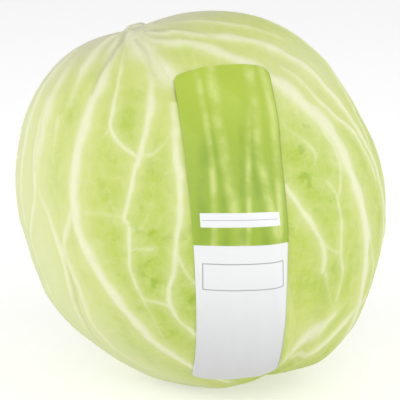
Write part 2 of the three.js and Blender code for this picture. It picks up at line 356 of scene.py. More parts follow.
# %% [markdown]
# A leaf starts as a flat grid. Every vertex of the grid has a place on the leaf: how far along it is
# from base to tip, and how far across it is from the midrib to the margin. Laying the leaf on the
# head is then one calculation for all vertices at once, which would be slow and uneven work by hand.

# %% Grid for a leaf


def add_grid(name, rows, columns):
    deselect_all()
    bpy.ops.mesh.primitive_grid_add(x_subdivisions=columns, y_subdivisions=rows, size=2)
    piece = bpy.context.object
    piece.name = name
    piece.data.name = name
    return piece


def vertex_places(piece):
    places = np.empty(len(piece.data.vertices) * 3)
    piece.data.vertices.foreach_get("co", places)
    return places.reshape(-1, 3)


def move_vertices(piece, points):
    piece.data.vertices.foreach_set("co", in_scene(points.reshape(-1, 3)).ravel())
    piece.data.update()


def write_attribute(piece, name, values):
    attribute = piece.data.attributes.new(name, "FLOAT", "POINT")
    attribute.data.foreach_set("value", values.astype(np.float32).ravel())


def write_vectors(piece, name, vectors):
    attribute = piece.data.attributes.new(name, "FLOAT_VECTOR", "POINT")
    attribute.data.foreach_set("vector", vectors.astype(np.float32).ravel())


def blade_of(leaf, piece, rows, columns):
    places = vertex_places(piece).reshape(rows + 1, columns + 1, 3)
    share = places[..., 0]
    done = (1 - places[..., 1]) / 2
    along = leaf.base + done * (leaf.end - leaf.base)
    width = half_width(leaf, along)
    along = along - CLASP * share ** 2 * (1 - smooth_step(along, STALK_BASE, STALK_END))
    towards = leaf_towards(leaf, along, share * width)
    level = layer_reach(leaf.index, towards)
    return SimpleNamespace(
        leaf=leaf,
        rows=rows,
        columns=columns,
        share=share,
        done=done,
        along=along,
        width=width,
        towards=towards,
        level=level,
        points=towards * level[..., None],
        relief=np.zeros_like(share),
        rib=np.zeros_like(share),
        halo=np.zeros_like(share),
        groove=np.zeros_like(share),
    )


print("a degree on the head is, mm:", round(MM_PER_DEGREE, 2))

# %% [markdown]
# Ribs and veins stand out of the outer face of a leaf and are paler than the cells between them.
# Each one is a line with a width that narrows along its length. The vertices near a line are
# raised by a soft profile, and the same profile is kept as attributes, which the material reads
# to paint the veins where they are raised.

# %% Ribs and veins
SAMPLE_SPACING = 0.7
RIB_HEIGHT = 0.85
FULL_HEIGHT_FROM = 2.2
WANDER = 0.22
WIDTH_CHANGE = 0.14
BEND_LENGTH = 3.1
SMALL_BEND = 0.5
SMALL_BEND_LENGTH = 1.7
PHASE_STEP = 40
ROWS_PAST_END = 4
# spread from the middle line of a vein: a share of its half width, and mm more
CREST_SPREAD = (1.7, 0.3)
BODY_SPREAD = (0.85, 0.2)
HALO_SPREAD = (2, 2)
WINDOW_SPREAD = (3, 4)


def smooth_line(stations):
    """Even points on a smooth line through the stations, which are directions from the middle of the head."""
    ends = np.vstack([2 * stations[0] - stations[1], stations, 2 * stations[-1] - stations[-2]])
    pieces = []
    for first, second, third, fourth in zip(ends[:-3], ends[1:-2], ends[2:-1], ends[3:]):
        length = np.linalg.norm(third - second) * MEAN_REACH
        t = np.linspace(0, 1, max(int(length / SAMPLE_SPACING), 2), endpoint=False)[:, None]
        straight = 2 * second + (third - first) * t
        curved = (2 * first - 5 * second + 4 * third - fourth) * t ** 2
        twisted = (3 * second - first - 3 * third + fourth) * t ** 3
        pieces.append((straight + curved + twisted) / 2)
    line = np.vstack(pieces + [stations[-1:]])
    return line / np.linalg.norm(line, axis=1, keepdims=True)


def grid_places(blade, towards):
    """Rows and columns of a leaf's grid for some directions, and their share of its half width."""
    leaf = blade.leaf
    along, across = leaf_places(leaf, towards)
    share = across / half_width(leaf, along)
    row = (leaf.end - along) / (leaf.end - leaf.base) * blade.rows
    return row, (share + 1) / 2 * blade.columns, share


def keep_higher(field, window, values):
    field[window] = np.maximum(field[window], values)


def spread_of(half, share, more):
    return share * half + more


def raise_line(blade, line, widths, strength, sunk=False):
    """Add a line to the relief of a leaf and to the masks that colour it."""
    leaf = blade.leaf
    row, column, share = grid_places(blade, line)
    row_step = (leaf.end - leaf.base) * MM_PER_DEGREE / blade.rows
    column_steps = 2 * half_width(leaf, leaf_places(leaf, line)[0]) * MM_PER_DEGREE / blade.columns
    near = (row > -ROWS_PAST_END) & (row < blade.rows + ROWS_PAST_END)
    levels = layer_reach(leaf.index, line)
    for index in np.flatnonzero(near & (np.abs(share) < 1)):
        half = widths[index] / 2
        reach = spread_of(half, *WINDOW_SPREAD)
        rows_out = int(reach / row_step) + 1
        columns_out = int(reach / column_steps[index]) + 1
        rows = slice(max(int(row[index]) - rows_out, 0), int(row[index]) + rows_out + 2)
        columns = slice(max(int(column[index]) - columns_out, 0), int(column[index]) + columns_out + 2)
        away = np.linalg.norm(blade.points[rows, columns] - line[index] * levels[index], axis=-1)
        crest = strength[index] * (1 - smooth_step(away, 0, spread_of(half, *CREST_SPREAD)))
        if sunk:
            keep_higher(blade.groove, (rows, columns), crest)
            continue
        body = strength[index] * np.exp(-((away / spread_of(half, *BODY_SPREAD)) ** 2))
        around = strength[index] * np.exp(-((away / spread_of(half, *HALO_SPREAD)) ** 2))
        keep_higher(blade.relief, (rows, columns), crest * min(1, half / FULL_HEIGHT_FROM))
        keep_higher(blade.rib, (rows, columns), body)
        keep_higher(blade.halo, (rows, columns), around)


def wandering(line, phase):
    """The same line with the small bends that growth leaves in every vein."""
    ahead = np.gradient(line, axis=0)
    beside = np.cross(line, ahead)
    beside /= np.linalg.norm(beside, axis=1, keepdims=True)
    gone = np.arange(len(line)) * SAMPLE_SPACING
    bends = np.sin(gone / BEND_LENGTH + phase) + SMALL_BEND * np.sin(gone / SMALL_BEND_LENGTH + 2 * phase)
    moved = line + beside * (WANDER / MEAN_REACH * bends)[:, None]
    return moved / np.linalg.norm(moved, axis=1, keepdims=True)


def draw_vein(blade, stations, widths, strengths, sunk=False):
    """Widths and strengths are given at even places along the vein, from its start to its end."""
    phase = PHASE_STEP * stations[0].sum()
    line = wandering(smooth_line(stations), phase)
    t = np.linspace(0, 1, len(line))
    uneven = 1 + WIDTH_CHANGE * np.sin(np.arange(len(line)) * SAMPLE_SPACING / BEND_LENGTH + phase)
    width = np.interp(t, np.linspace(0, 1, len(widths)), widths) * uneven
    strength = np.interp(t, np.linspace(0, 1, len(strengths)), strengths)
    raise_line(blade, line, width, strength, sunk)


NET_SEED = 70
NET_CELL = (9.5, 14)
NET_SCATTER = 0.45
NET_SWAY = 2.2
NET_SHIVER = 1.1
NET_WIDTH = 1.8
NET_STRENGTH = 0.22
FAR_AWAY = 1e3


def draw_fine_net(blade):
    """A faint net of small veins: the lines halfway between scattered points, with wavy sides."""
    random = np.random.default_rng(NET_SEED + blade.leaf.index)
    across = blade.share * blade.width * MM_PER_DEGREE
    along = blade.along * MM_PER_DEGREE
    across = across + NET_SWAY * np.sin(along / 6 + 1) + NET_SHIVER * np.sin(along / 2.7 + across / 5)
    along = along + NET_SWAY * np.sin(across / 5 + 2) + NET_SHIVER * np.sin(across / 2.4 - along / 6)
    nearest = np.full(across.shape, FAR_AWAY)
    second = np.full(across.shape, FAR_AWAY)
    for x in np.arange(across.min(), across.max(), NET_CELL[0]):
        for y in np.arange(along.min(), along.max(), NET_CELL[1]):
            dx, dy = random.uniform(-NET_SCATTER, NET_SCATTER, 2) * NET_CELL
            away = np.hypot((across - x - dx) / NET_CELL[0], (along - y - dy) / NET_CELL[1]) * NET_CELL[0]
            second = np.minimum(second, np.maximum(nearest, away))
            nearest = np.minimum(nearest, away)
    shown = 0.5 + 0.5 * np.sin(across / 17 + blade.leaf.index) * np.sin(along / 23 + 2)
    blade.net = NET_STRENGTH * shown * np.exp(-(((second - nearest) / NET_WIDTH) ** 2))


print("a vein is sampled every", SAMPLE_SPACING, "mm")

# %% [markdown]
# The two front leaves carry the ribs that the eye meets first, so their routes are set one by
# one, as stations in degrees from the stem and degrees round it. A few grooves lie between the
# leaf stalks near the stem.

# %% Ribs of the front leaves
FRONT_RIBS = [
    # widths, strengths, stations: the left leaf's main rib and the branches on its left
    ((8, 7, 6.4, 5, 3.4), (0.6, 0.95, 1, 1, 0.9), [(27, -7), (45, -17), (53, -24), (69, -34), (77, -37),
     (87, -39), (112, -36), (127, -36), (141, -33), (155, -28)]),
    ((4.5, 3.6, 2.2), (0.7, 0.8, 0.6), [(78, -37), (89, -48), (101, -49), (114, -55), (127, -59),
     (142, -58)]),
    ((9, 7, 5), (0.6, 0.8, 0.6), [(26, -46), (41, -58), (51, -61), (60, -65), (78, -70)]),
    ((7, 10, 8, 5), (0.4, 0.75, 0.7, 0.3), [(31, -38), (39, -41), (47, -45), (56, -49), (72, -56)]),
    ((3.4, 3.2, 2.6), (0.6, 0.85, 0.7), [(44, -47), (58, -53), (72, -56), (83, -68), (96, -69), (112, -73)]),
    ((3, 4, 3, 2), (0.4, 0.9, 0.7, 0.4), [(66, -54), (73, -52), (80, -50), (93, -51), (104, -56),
     (122, -68)]),
    ((4, 3), (0.5, 0.2), [(52, -39), (64, -43)]),
    ((6, 8, 5), (0.8, 0.8, 0.2), [(26, -14), (31, -21), (39, -27), (46, -31), (52, -36)]),
    # the two thin ribs between the main rib and the label, their links and their side veins
    ((2.6, 2.2, 2), (0.4, 0.8, 0.8), [(38, -7), (51, -13), (61, -18), (68, -16), (73, -12)]),
    ((6.5, 4.2, 2.6, 2, 1.8), (0.45, 0.8, 0.9, 0.8, 0.7), [(41, 0), (51, 0), (64, -6), (78, -16), (87, -22),
     (90, -22), (102, -27), (111, -28)]),
    ((2, 1.6, 1.4), (0.55, 0.45, 0.25), [(72, -12), (73, -7), (69, 0)]),
    ((1.5, 1.2), (0.6, 0.2), [(59, -17), (55, -12)]),
    ((1.5, 1.2), (0.6, 0.2), [(62, -18), (63, -23)]),
    ((2, 1.6), (0.3, 0.4), [(82, -34), (84, -28), (87, -22)]),
    ((1.6, 1.2), (0.5, 0.25), [(91, -22), (91, -18), (87, -13)]),
    ((1.6, 1.4), (0.7, 0.45), [(96, -25), (98, -18)]),
    ((1.8, 1.6), (0.5, 0.7), [(111, -28), (113, -25), (116, -22)]),
    ((1.6, 1.2), (0.5, 0.2), [(111, -28), (125, -31), (133, -34)]),
    # the rib beside the label, and the broad stalk that goes under the label's corner
    ((4, 4, 3, 2.4, 2), (0.6, 0.9, 0.8, 0.8, 0.7), [(62, 3), (77, -2), (88, -5), (105, -14), (115, -21),
     (127, -20), (138, -15)]),
    ((2.2, 1.8), (0.7, 0.5), [(102, -12), (110, -11), (118, -8)]),
    ((10, 12, 11), (0.9, 1, 0.9), [(24, -4), (39, 0), (54, 5)]),
    # the right leaf's main rib and the bands beyond it
    ((5, 6, 9, 9, 7, 6, 5), (0.7, 0.8, 1, 1, 1, 0.95, 0.8), [(26, 2), (37, 6), (47, 21), (59, 32), (70, 40),
     (85, 48), (100, 50), (121, 56), (136, 60), (152, 66)]),
    ((6, 6, 5, 4, 3), (0.6, 0.85, 0.95, 0.9, 0.7), [(27, 6), (33, 9), (44, 26), (53, 44), (63, 54), (75, 59),
     (85, 63), (101, 70), (118, 75), (140, 79)]),
    ((3, 3.6, 3), (0.5, 0.9, 0.7), [(62, 44), (70, 48), (76, 50), (82, 54), (88, 60), (103, 67)]),
    ((5, 5, 3), (0.4, 0.6, 0.4), [(30, 18), (42, 41), (53, 58)]),
    ((4, 4, 3.4, 2.6), (0.1, 0.6, 0.85, 0.6), [(24, 62), (38, 68), (52, 73), (66, 75), (80, 71), (98, 70)]),
    ((2.6, 2.2, 1.8), (0.6, 0.6, 0.5), [(100, 50), (111, 54), (120, 59), (134, 71), (145, 71)]),
    # the net of veins between the main rib and the label
    ((4, 3, 2.2), (0.6, 0.6, 0.5), [(76, 43), (89, 46), (96, 46), (104, 41)]),
    ((2.2, 2, 1.8), (0.5, 0.7, 0.5), [(98, 39), (104, 41), (120, 40), (128, 42), (135, 40)]),
    ((2, 1.8, 1.2), (0.3, 0.55, 0.3), [(79, 32), (88, 38), (95, 36)]),
    ((2.6, 3, 2.4), (0.7, 0.9, 0.7), [(88, 21), (97, 26), (105, 29), (115, 33), (124, 33)]),
    ((1.6, 1.6), (0.6, 0.6), [(116, 34), (120, 40)]),
    ((1.6, 1.4), (0.5, 0.3), [(123, 33), (137, 38)]),
    # two pale bands low on the right
    ((6, 8, 7), (0.7, 0.9, 0.7), [(140, 40), (143, 33), (149, 22), (153, 14)]),
    ((4, 6, 5), (0.6, 0.9, 0.7), [(140, 69), (143, 57), (147, 47), (151, 37), (154, 21)]),
]
FRONT_GROOVES = [
    ((2.6, 3, 2.2), (0.7, 0.8, 0.3), [(24, -6), (34, -10), (46, -21), (49, -23)]),
    ((2.4, 2), (0.55, 0.25), [(34, -1), (43, 1), (51, 1)]),
    ((2.4, 2), (0.5, 0.15), [(28, 6), (34, 16), (50, 31)]),
    ((1.4, 2, 1.6), (0.1, 0.4, 0.2), [(84, -48), (93, -49), (104, -54), (122, -66)]),
]


def draw_front_ribs(blade):
    for routes, sunk in ((FRONT_RIBS, False), (FRONT_GROOVES, True)):
        for widths, strengths, stations in routes:
            draw_vein(blade, towards_place(*np.array(stations, float).T), widths, strengths, sunk)


print("front ribs:", len(FRONT_RIBS))

# %% [markdown]
# The other leaves are not seen as closely. Their ribs fan out from the stalk at even shares of
# the leaf's width, wander a little, and slanted cross veins tie them into long cells. A fixed
# seed for each leaf gives every leaf its own pattern, and the same one each time.

# %% Ribs of the other leaves
RIB_SHARES = [-0.84, -0.62, -0.4, -0.19, 0, 0.19, 0.4, 0.62, 0.84]
LEFT_SIDE_SHARES = [-0.86]
RIGHT_SIDE_SHARES = [0.56, 0.72, 0.88]
RIGHT_SIDE_START = 78
RIB_SEED = 40
RIB_LATENESS = 26
RIB_STOP = 6
RIB_STATIONS = 9
RIB_WANDER = 0.03
WANDER_GROWTH = 1.6
RIB_WIDTHS = np.array([5, 4.2, 3.4, 2.6, 1.8])
RIB_STRENGTHS = (0.05, 0.75, 0.9, 0.8, 0.7)
MIDRIB_EXTRA = np.array([4, 3, 2, 1, 1])
FIRST_VEIN = (24, 40)
VEIN_STEP = 27
VEIN_SLANT = 17
VEIN_STOP = 4
VEIN_BEND = 0.02
VEIN_STATIONS = 5
VEIN_WIDTHS = (2.1, 1.5)
VEIN_STRENGTHS = np.array([0.7, 0.45])
FAINTEST_VEIN = 0.6


def draw_ruled_ribs(blade, shares, delay=0):
    """Ribs at some shares of the leaf's width, the outer ones starting later, tied by cross veins."""
    leaf = blade.leaf
    random = np.random.default_rng(RIB_SEED + leaf.index)
    end = leaf.tip - RIB_STOP
    routes = []
    for share in shares:
        start = leaf.base + max(RIB_LATENESS * abs(share), delay)
        along = np.linspace(start, end, RIB_STATIONS)
        wander = RIB_WANDER * np.sin(np.radians(along * random.uniform(3, 5)) + random.uniform(0, 6))
        shifted = share + wander * (along - start) / (end - start) * WANDER_GROWTH
        routes.append((along, shifted))
        stations = leaf_towards(leaf, along, shifted * half_width(leaf, along))
        widths = RIB_WIDTHS + MIDRIB_EXTRA * (share == 0)
        draw_vein(blade, stations, widths, RIB_STRENGTHS)
    for first, second in zip(routes[:-1], routes[1:]):
        tie_ribs(blade, first, second, leaf.base + delay, random)


def tie_ribs(blade, first_rib, second_rib, start, random):
    """Cross veins that slant outwards from the rib nearer the midrib to its neighbour."""
    along, first = first_rib
    _, second = second_rib
    inward, outward = (first, second) if abs(second.mean()) > abs(first.mean()) else (second, first)
    place = start + random.uniform(*FIRST_VEIN)
    while place < blade.leaf.tip - RIB_STOP - VEIN_SLANT - VEIN_STOP:
        route = np.linspace(place, place + VEIN_SLANT * random.uniform(0.7, 1.2), VEIN_STATIONS)
        t = np.linspace(0, 1, VEIN_STATIONS)
        bend = VEIN_BEND * np.sin(math.pi * t) * random.uniform(-1, 1)
        inside = np.interp(route, along, inward)
        share = inside + (np.interp(route, along, outward) - inside) * t + bend
        stations = leaf_towards(blade.leaf, route, share * half_width(blade.leaf, route))
        faint = random.uniform(FAINTEST_VEIN, 1)
        draw_vein(blade, stations, VEIN_WIDTHS, VEIN_STRENGTHS * faint)
        place += VEIN_STEP * random.uniform(0.75, 1.25)


print("ruled ribs on a leaf:", len(RIB_SHARES))

# %% [markdown]
# Materials are built from nodes, as in the shader editor. These helpers add a node, join it up
# and hand back its result, so that a material reads as a list of steps.

# %% Node helpers


def add_node(tree, kind, **settings):
    node = tree.nodes.new(kind)
    for name, value in settings.items():
        setattr(node, name, value)
    return node


def feed(tree, socket, value):
    if isinstance(value, bpy.types.NodeSocket):
        tree.links.new(value, socket)
    else:
        socket.default_value = value


def math_node(tree, operation, first, second=None):
    node = add_node(tree, "ShaderNodeMath", operation=operation)
    feed(tree, node.inputs[0], first)
    if second is not None:
        feed(tree, node.inputs[1], second)
    return node.outputs[0]


def scaled(tree, value, factor):
    return math_node(tree, "MULTIPLY", value, factor)


def ranged(tree, value, low, high, out_low=0.0, out_high=1.0):
    node = add_node(tree, "ShaderNodeMapRange", interpolation_type="SMOOTHSTEP")
    feed(tree, node.inputs["Value"], value)
    feed(tree, node.inputs["From Min"], low)
    feed(tree, node.inputs["From Max"], high)
    feed(tree, node.inputs["To Min"], out_low)
    feed(tree, node.inputs["To Max"], out_high)
    return node.outputs["Result"]


def mixed(tree, share, first, second):
    node = add_node(tree, "ShaderNodeMix", data_type="RGBA")
    feed(tree, node.inputs[0], share)
    feed(tree, node.inputs[6], first)
    feed(tree, node.inputs[7], second)
    return node.outputs[2]


def attribute(tree, name, output="Fac"):
    node = add_node(tree, "ShaderNodeAttribute", attribute_name=name)
    return node.outputs[output]


def new_group(name, output, **inputs):
    """A node group that reads a place and some numbers, and puts out one mask."""
    group = bpy.data.node_groups.new(name, "ShaderNodeTree")
    group.interface.new_socket(name="Vector", in_out="INPUT", socket_type="NodeSocketVector")
    for label, value in inputs.items():
        socket = group.interface.new_socket(name=label, in_out="INPUT", socket_type="NodeSocketFloat")
        socket.default_value = value
    group.interface.new_socket(name=output, in_out="OUTPUT", socket_type="NodeSocketFloat")
    entry = group.nodes.new("NodeGroupInput")
    leaving = group.nodes.new("NodeGroupOutput")
    return group, entry.outputs, leaving.inputs[output]


def use_group(tree, group, **values):
    node = add_node(tree, "ShaderNodeGroup", node_tree=group)
    for label, value in values.items():
        feed(tree, node.inputs[label], value)
    return node.outputs[0]


def add_bump(tree, surface, height, strength, distance):
    bump = add_node(tree, "ShaderNodeBump")
    bump.inputs["Strength"].default_value = strength
    bump.inputs["Distance"].default_value = distance * MM
    feed(tree, bump.inputs["Height"], height)
    feed(tree, surface.inputs["Normal"], bump.outputs["Normal"])


def new_material(name):
    material = bpy.data.materials.new(name)
    material.use_nodes = True
    tree = material.node_tree
    return material, tree, tree.nodes["Principled BSDF"]


SEEN_BRIGHTNESS = 1.12


def linear(red, green, blue):
    """A colour as it is seen under these lamps, 0 to 255, in the linear values that shaders use."""
    parts = [((part / 255 + 0.055) / 1.055) ** 2.4 / SEEN_BRIGHTNESS for part in (red, green, blue)]
    return (*parts, 1.0)


print("a seen white as a shader colour:", [round(part, 2) for part in linear(255, 255, 255)[:3]])

# %% [markdown]
# Effects that are used more than once are node groups: a net of fine veins, soft patches, and a box and a
# brush stroke for print. The groups put out masks only, and each material decides what colour a mask takes.

# %% Shared effects


def make_fine_net():
    group, given, result = new_group("fine_net", "Net", Scale=1.0, Wander=0.3, Width=0.1)
    noise = add_node(group, "ShaderNodeTexNoise")
    feed(group, noise.inputs["Vector"], given["Vector"])
    feed(group, noise.inputs["Scale"], given["Scale"])
    moved = add_node(group, "ShaderNodeVectorMath", operation="MULTIPLY_ADD")
    feed(group, moved.inputs[0], noise.outputs["Color"])
    feed(group, moved.inputs[1], given["Wander"])
    feed(group, moved.inputs[2], given["Vector"])
    cells = add_node(group, "ShaderNodeTexVoronoi", feature="DISTANCE_TO_EDGE")
    feed(group, cells.inputs["Vector"], moved.outputs[0])
    feed(group, cells.inputs["Scale"], given["Scale"])
    group.links.new(ranged(group, cells.outputs["Distance"], 0.0, given["Width"], 1.0, 0.0), result)
    return group


def make_soft_patches():
    group, given, result = new_group("soft_patches", "Patches", Scale=1.0, Low=0.35, High=0.65)
    noise = add_node(group, "ShaderNodeTexNoise")
    noise.inputs["Detail"].default_value = 3
    feed(group, noise.inputs["Vector"], given["Vector"])
    feed(group, noise.inputs["Scale"], given["Scale"])
    group.links.new(ranged(group, noise.outputs["Fac"], given["Low"], given["High"]), result)
    return group


def make_print_box():
    group, given, result = new_group(
        "print_box", "Box", Left=-1.0, Right=1.0, Low=-1.0, High=1.0, Softness=0.1
    )
    parts = add_node(group, "ShaderNodeSeparateXYZ")
    feed(group, parts.inputs[0], given["Vector"])
    shares = []
    for place, low, high in (("X", "Left", "Right"), ("Y", "Low", "High")):
        above = math_node(group, "SUBTRACT", parts.outputs[place], given[low])
        below = math_node(group, "SUBTRACT", given[high], parts.outputs[place])
        nearest = math_node(group, "MINIMUM", above, below)
        shares.append(ranged(group, nearest, scaled(group, given["Softness"], -1.0), given["Softness"]))
    group.links.new(math_node(group, "MULTIPLY", *shares), result)
    return group


def make_print_stroke():
    group, given, result = new_group("print_stroke", "Stroke", Offset=0.0, Slant=0.0, Bow=0.0, Width=2.0)
    parts = add_node(group, "ShaderNodeSeparateXYZ")
    feed(group, parts.inputs[0], given["Vector"])
    slanted = math_node(group, "MULTIPLY", parts.outputs["Y"], given["Slant"])
    bowed = math_node(group, "MULTIPLY", math_node(group, "POWER", parts.outputs["Y"], 2.0), given["Bow"])
    middle = math_node(group, "ADD", given["Offset"], math_node(group, "ADD", slanted, bowed))
    away = math_node(group, "ABSOLUTE", math_node(group, "SUBTRACT", parts.outputs["X"], middle))
    group.links.new(ranged(group, away, 0.0, given["Width"], 1.0, 0.0), result)
    return group


fine_net = make_fine_net()
soft_patches = make_soft_patches()
print_box = make_print_box()
print_stroke = make_print_stroke()
print("shared effects:", fine_net.name, soft_patches.name, print_box.name, print_stroke.name)

# %% [markdown]
# A leaf is yellow green in its cells and cream on its ribs, with a pale seam beside each rib. Towards
# the stem the whole leaf turns to the pale, slightly greyish cream of the stalks. A thin coat of wax
# makes it satin, not glossy. The leaves of the closed head get the same finish, a little paler.

# %% Leaf material
CREAM = linear(244, 245, 208)
STALK = linear(222, 220, 186)
CELL_GREEN = linear(205, 219, 106)
DEEP_GREEN = linear(176, 203, 58)
FLECK_GREEN = linear(156, 187, 40)
PALE_GREEN = linear(227, 234, 164)
# the sides' own paler green, with painted sheen
SIDE_PALE_AND_SHEEN = linear(231, 237, 184)
# grey painted into the grooves, as shade
GROOVE_SHADE = linear(178, 176, 140)
# how strongly each mask shows at most
SHOWN = SimpleNamespace(
    patches=0.8, front_lit_green=0.85, mottle=0.3, net=0.12, halo=0.76, rib=0.92, groove=0.6, margin=0.35
)
FLECKS_SHOWN = (0.1, 0.7)
RAGGEDNESS = (-0.1, 0.06)
WAX_ROUGHNESS = (0.48, 0.6)
NET_RELIEF = 0.6
PORE_RELIEF = 0.25


def cell_colour(tree, place, net):
    """The green between the ribs, deeper in random patches and painted deeper low in front where the light
    falls straight on, with mottling, a net and flecks.
    """
    patches = use_group(tree, soft_patches, Vector=place, Scale=0.34, Low=0.4, High=0.7)
    mottle = use_group(tree, soft_patches, Vector=place, Scale=1.5, Low=0.3, High=0.75)
    flecks = use_group(tree, soft_patches, Vector=place, Scale=1.2, Low=0.55, High=0.68)
    # painted light: deeper green low in front, where the light falls straight on
    front_lit_green = attribute(tree, "front_lit_green")
    patches_and_front_lit_green = math_node(tree, "MAXIMUM", scaled(tree, patches, SHOWN.patches), scaled(tree, front_lit_green, SHOWN.front_lit_green))
    colour = mixed(tree, patches_and_front_lit_green, CELL_GREEN, DEEP_GREEN)
    colour = mixed(tree, scaled(tree, mottle, SHOWN.mottle), colour, PALE_GREEN)
    colour = mixed(tree, scaled(tree, net, SHOWN.net), colour, PALE_GREEN)
    flecks = scaled(tree, flecks, ranged(tree, front_lit_green, 0.0, 1.0, *FLECKS_SHOWN))
    return mixed(tree, flecks, colour, FLECK_GREEN)


def leaf_colour(tree, place, net):
    """The cells, then what lies over them: pale sides with painted sheen, seams, stalks, cream ribs, grooves
    with painted shade, and margins.
    """
    colour = cell_colour(tree, place, net)
    # paler sides: partly the leaves' own colour, partly painted sheen, with a painted lit shoulder
    colour = mixed(tree, attribute(tree, "side"), colour, SIDE_PALE_AND_SHEEN)
    colour = mixed(tree, scaled(tree, attribute(tree, "halo"), SHOWN.halo), colour, PALE_GREEN)
    colour = mixed(tree, attribute(tree, "stalk"), colour, STALK)
    ragged = use_group(tree, soft_patches, Vector=place, Scale=1.1, Low=0.25, High=0.75)
    rib = math_node(tree, "ADD", attribute(tree, "rib"), ranged(tree, ragged, 0.0, 1.0, *RAGGEDNESS))
    colour = mixed(tree, ranged(tree, rib, 0.02, 1.0, 0.0, SHOWN.rib), colour, CREAM)
    # painted shade in the grooves
    colour = mixed(tree, scaled(tree, attribute(tree, "groove"), SHOWN.groove), colour, GROOVE_SHADE)
    return mixed(tree, scaled(tree, attribute(tree, "margin"), SHOWN.margin), colour, PALE_GREEN)


def leaf_material(name, paler):
    material, tree, surface = new_material(name)
    place = attribute(tree, "blade", "Vector")
    net = use_group(tree, fine_net, Vector=place, Scale=2.3, Wander=0.25, Width=0.14)
    colour = leaf_colour(tree, place, net)
    if paler:
        colour = mixed(tree, paler, colour, PALE_GREEN)
    feed(tree, surface.inputs["Base Color"], colour)
    wax = use_group(tree, soft_patches, Vector=place, Scale=5.0, Low=0.25, High=0.75)
    feed(tree, surface.inputs["Roughness"], ranged(tree, wax, 0.0, 1.0, *WAX_ROUGHNESS))
    surface.inputs["Specular IOR Level"].default_value = 0.35
    surface.inputs["Subsurface Weight"].default_value = 0.12
    surface.inputs["Subsurface Radius"].default_value = (1.0, 1.0, 0.35)
    surface.inputs["Subsurface Scale"].default_value = 2.5 * MM
    pores = use_group(tree, soft_patches, Vector=place, Scale=14.0, Low=0.2, High=0.8)
    height = math_node(tree, "ADD", scaled(tree, net, NET_RELIEF), scaled(tree, pores, PORE_RELIEF))
    add_bump(tree, surface, height, strength=0.2, distance=0.35)
    return material


outer_leaf_finish = leaf_material("outer_leaf_finish", paler=0)
head_leaf_finish = leaf_material("head_leaf_finish", paler=0.35)
print("leaf finishes:", outer_leaf_finish.name, head_leaf_finish.name)

# %% [markdown]
# A cabbage leaf isn't one green all over. It fades to cream at the stalk, and its sides are paler. Light is
# painted in on top of this: a deeper green low in front, where the light falls straight on, a painted sheen
# on the sides, most of all on the left, and a painted lit patch on the upper right shoulder. These shares
# are worked out from the place on the head.

# %% Colour by place
STALK_PALENESS = 0.9
STALK_FADE = (22, 48)
# paler sides: partly the leaves' own colour, partly painted sheen; the shoulder is a painted lit patch
LEFT_PALENESS_AND_SHEEN = 0.85
LEFT_FADE = (30, 62)
RIGHT_PALENESS_AND_SHEEN = 0.25
RIGHT_FADE = (60, 95)
LIT_SHOULDER_PALENESS = 0.65
# the front lit green is painted light, deepest where the light falls straight on
FRONT_LIT_RIGHT_SHARE = 0.9
# patches by their middle and spread, in degrees round the stem and degrees from it
LIT_SHOULDER = {"middle": (60, 64), "spread": (22, 14)}
FRONT_LIT_LEFT = {"middle": (-16, 112), "spread": (21, 34)}
FRONT_LIT_RIGHT = {"middle": (38, 94), "spread": (24, 32)}


def patch(towards, middle, spread):
    """1 in the middle of a soft patch, falling to 0 round it."""
    beside = (degrees_round_stem(towards) - middle[0]) / spread[0]
    above = (degrees_from_stem(towards) - middle[1]) / spread[1]
    return np.exp(-(beside ** 2) - above ** 2)


def stalk_paleness(towards):
    return STALK_PALENESS * (1 - smooth_step(degrees_from_stem(towards), *STALK_FADE))


def side_paleness_and_sheen(towards):
    """The leaves fade towards the sides of the head, most of all to the left: partly their own paler green,
    partly a painted sheen. The upper right shoulder is painted paler, as lit.
    """
    round_stem = degrees_round_stem(towards)
    left = LEFT_PALENESS_AND_SHEEN * smooth_step(-round_stem, *LEFT_FADE)
    right = RIGHT_PALENESS_AND_SHEEN * smooth_step(round_stem, *RIGHT_FADE)
    return left + np.maximum(right, LIT_SHOULDER_PALENESS * patch(towards, **LIT_SHOULDER))


def front_lit_greenness(towards):
    """Painted light: greenest low in front, on both sides of the label, where the light falls straight on."""
    return np.maximum(patch(towards, **FRONT_LIT_LEFT), FRONT_LIT_RIGHT_SHARE * patch(towards, **FRONT_LIT_RIGHT))


print("palest shares at the stalk, left and right:", STALK_PALENESS, LEFT_PALENESS_AND_SHEEN, RIGHT_PALENESS_AND_SHEEN)

# %% [markdown]
# Where a leaf lies over another, its margin bends down until it touches. So each leaf has to know how
# high the leaves below it stand. Near the stem all of them dip together, to join it under its stub.

# %% Margins and stalks
MARGIN_REACH = 11
SIDE_DIP = 2.2
SIDE_DIP_FADE = (5, 16)
SIDE_DIP_LEAN = 0.4
FRONT_DIP = 3
FRONT_DIP_FADE = (5, 38)


def margin_nearness(blade):
    """1 at the margin and the tip, 0 further in than the margin's reach."""
    beside = (1 - np.abs(blade.share)) * blade.width * MM_PER_DEGREE
    to_tip = (blade.leaf.end - blade.along) * MM_PER_DEGREE
    return 1 - smooth_step(np.minimum(beside, to_tip), 0, MARGIN_REACH)


def stalk_dip(towards):
    """How far the stalks go down to join the stem under its stub, deepest in front."""
    from_stem = degrees_from_stem(towards)
    frontness = np.clip(-towards[..., 1] / off_axis(towards), 0, 1)
    rightness = towards[..., 0] / off_axis(towards)
    leaning = 1 - SIDE_DIP_LEAN + SIDE_DIP_LEAN * rightness
    around = SIDE_DIP * leaning * (1 - smooth_step(from_stem, *SIDE_DIP_FADE))
    return around + FRONT_DIP * frontness ** 2 * (1 - smooth_step(from_stem, *FRONT_DIP_FADE))


